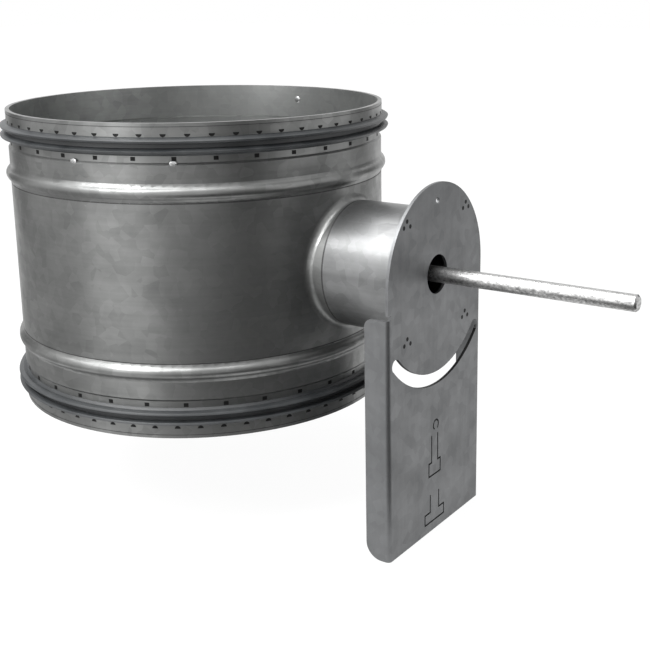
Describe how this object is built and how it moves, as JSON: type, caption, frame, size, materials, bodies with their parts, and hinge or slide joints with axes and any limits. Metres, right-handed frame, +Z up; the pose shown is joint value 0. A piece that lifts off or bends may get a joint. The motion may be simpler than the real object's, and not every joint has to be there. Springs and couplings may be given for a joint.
{
  "type": "volume control damper",
  "caption": "Round duct damper with rubber-lipped spigots, a shut-off blade on a through shaft and a raised folded plate for an actuator.",
  "frame": {"origin": "centre of the lower spigot's open end, on the duct's axis", "axes": "+Z up along the duct's axis, +X outwards along the drive shaft"},
  "size_m": [0.3595, 0.2068, 0.2115],
  "materials": {
    "casing_steel": "galvanised, small spangle",
    "tube_steel": "galvanised, drawn, lengthwise streaks",
    "plate_steel": "zinc-coated, matt grey",
    "lip_rubber": "extruded EPDM, satin",
    "shaft_steel": "bright zinc plate",
    "bush_plastic": "moulded black",
    "blade_steel": "galvanised, small spangle",
    "fixing_steel": "bright zinc plate"
  },
  "bodies": {
    "damper_body": {"duct_body": "casing_steel", "lower_gasket": "lip_rubber", "upper_gasket": "lip_rubber", "riser_tube": "tube_steel", "actuator_plate": "plate_steel", "plate_rivets": "plate_steel", "bearing_cup": "casing_steel", "drive_bush": "bush_plastic", "shaft_seal": "lip_rubber", "idler_bush": "bush_plastic"},
    "blade": {"drive_shaft": "shaft_steel", "retaining_clip": "fixing_steel", "thrust_washer_near": "bush_plastic", "thrust_washer_far": "bush_plastic", "blade_disc_upper": "blade_steel", "blade_disc_lower": "blade_steel", "blade_seal": "lip_rubber", "blade_rivets": "fixing_steel", "shaft_bolts": "fixing_steel", "shaft_nuts": "fixing_steel"}
  },
  "joints": [
    {"name": "blade_turn", "type": "hinge", "parent": "damper_body", "child": "blade", "pos_m": [0, 0, 0.077], "axis": [1, 0, 0], "range_deg": [0, 90]}
  ]
}
